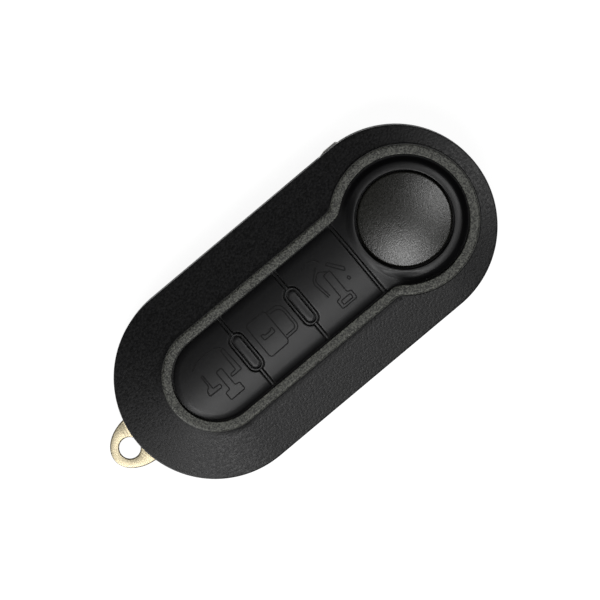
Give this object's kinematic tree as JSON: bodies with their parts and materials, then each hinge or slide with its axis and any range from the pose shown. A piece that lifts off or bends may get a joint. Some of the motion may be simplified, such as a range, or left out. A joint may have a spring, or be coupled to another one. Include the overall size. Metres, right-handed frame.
{
  "type": "key fob shell",
  "caption": "Flip key fob shell with a stadium case, raised keyhole rim, rubber keys, round blade release button and brass keyring tab.",
  "frame": {"origin": "middle of the flat back, under the centre of the case outline", "axes": "+X towards the round release button, +Y towards the side where the blade folds, +Z towards the keys"},
  "size_m": [0.0835, 0.0365, 0.0156],
  "materials": {
    "case_plastic": "fine moulded grain",
    "frame_plastic": "plain moulded",
    "button_plastic": "coarse moulded grain",
    "silicone": "satin",
    "spring_steel": "drawn",
    "blade_steel": "nickel plated",
    "contact_metal": "plain sheet",
    "tab_brass": "pale, stamped"
  },
  "bodies": {
    "case": {"front_cover": "case_plastic", "rear_cover": "case_plastic", "chassis_upper": "frame_plastic", "chassis_lower": "frame_plastic", "keypad_mat": "silicone", "flip_spring": "spring_steel", "contact_positive": "contact_metal", "contact_negative": "contact_metal", "keyring_tab": "tab_brass", "chassis_screw_1": "spring_steel", "chassis_screw_2": "spring_steel", "chassis_screw_3": "spring_steel"},
    "blade_assembly": {"blade_hub": "frame_plastic", "key_blade": "blade_steel", "blade_pin": "spring_steel"},
    "button": {"release_button": "button_plastic"},
    "boot_key_top": {"boot_key": "silicone"},
    "lock_key_top": {"lock_key": "silicone"},
    "unlock_key_top": {"unlock_key": "silicone"},
    "tray": {"battery_tray": "frame_plastic"},
    "tray_lock": {"tray_lock_screw": "frame_plastic"}
  },
  "joints": [
    {"name": "blade_flip", "type": "hinge", "parent": "case", "child": "blade_assembly", "pos_m": [0.02292, 0, 0.008], "axis": [0, 0, -1], "range_deg": [0, 180]},
    {"name": "button_press", "type": "slide", "parent": "case", "child": "button", "axis": [0, 0, -1], "range_m": [0, 0.0022], "stiffness_N_per_m": 1500, "springref_m": -0.001, "deforming": ["flip_spring"]},
    {"name": "boot_key_press", "type": "slide", "parent": "case", "child": "boot_key_top", "axis": [0, 0, -1], "range_m": [0, 0.0005], "stiffness_N_per_m": 3000},
    {"name": "lock_key_press", "type": "slide", "parent": "case", "child": "lock_key_top", "axis": [0, 0, -1], "range_m": [0, 0.0005], "stiffness_N_per_m": 3000},
    {"name": "unlock_key_press", "type": "slide", "parent": "case", "child": "unlock_key_top", "axis": [0, 0, -1], "range_m": [0, 0.0005], "stiffness_N_per_m": 3000},
    {"name": "tray_slide", "type": "slide", "parent": "case", "child": "tray", "axis": [0, -1, 0], "range_m": [0, 0.024]},
    {"name": "tray_lock_turn", "type": "hinge", "parent": "tray", "child": "tray_lock", "pos_m": [0.0033, -0.018, 0.00438], "axis": [0, 1, 0], "range_deg": [0, 90]}
  ]
}
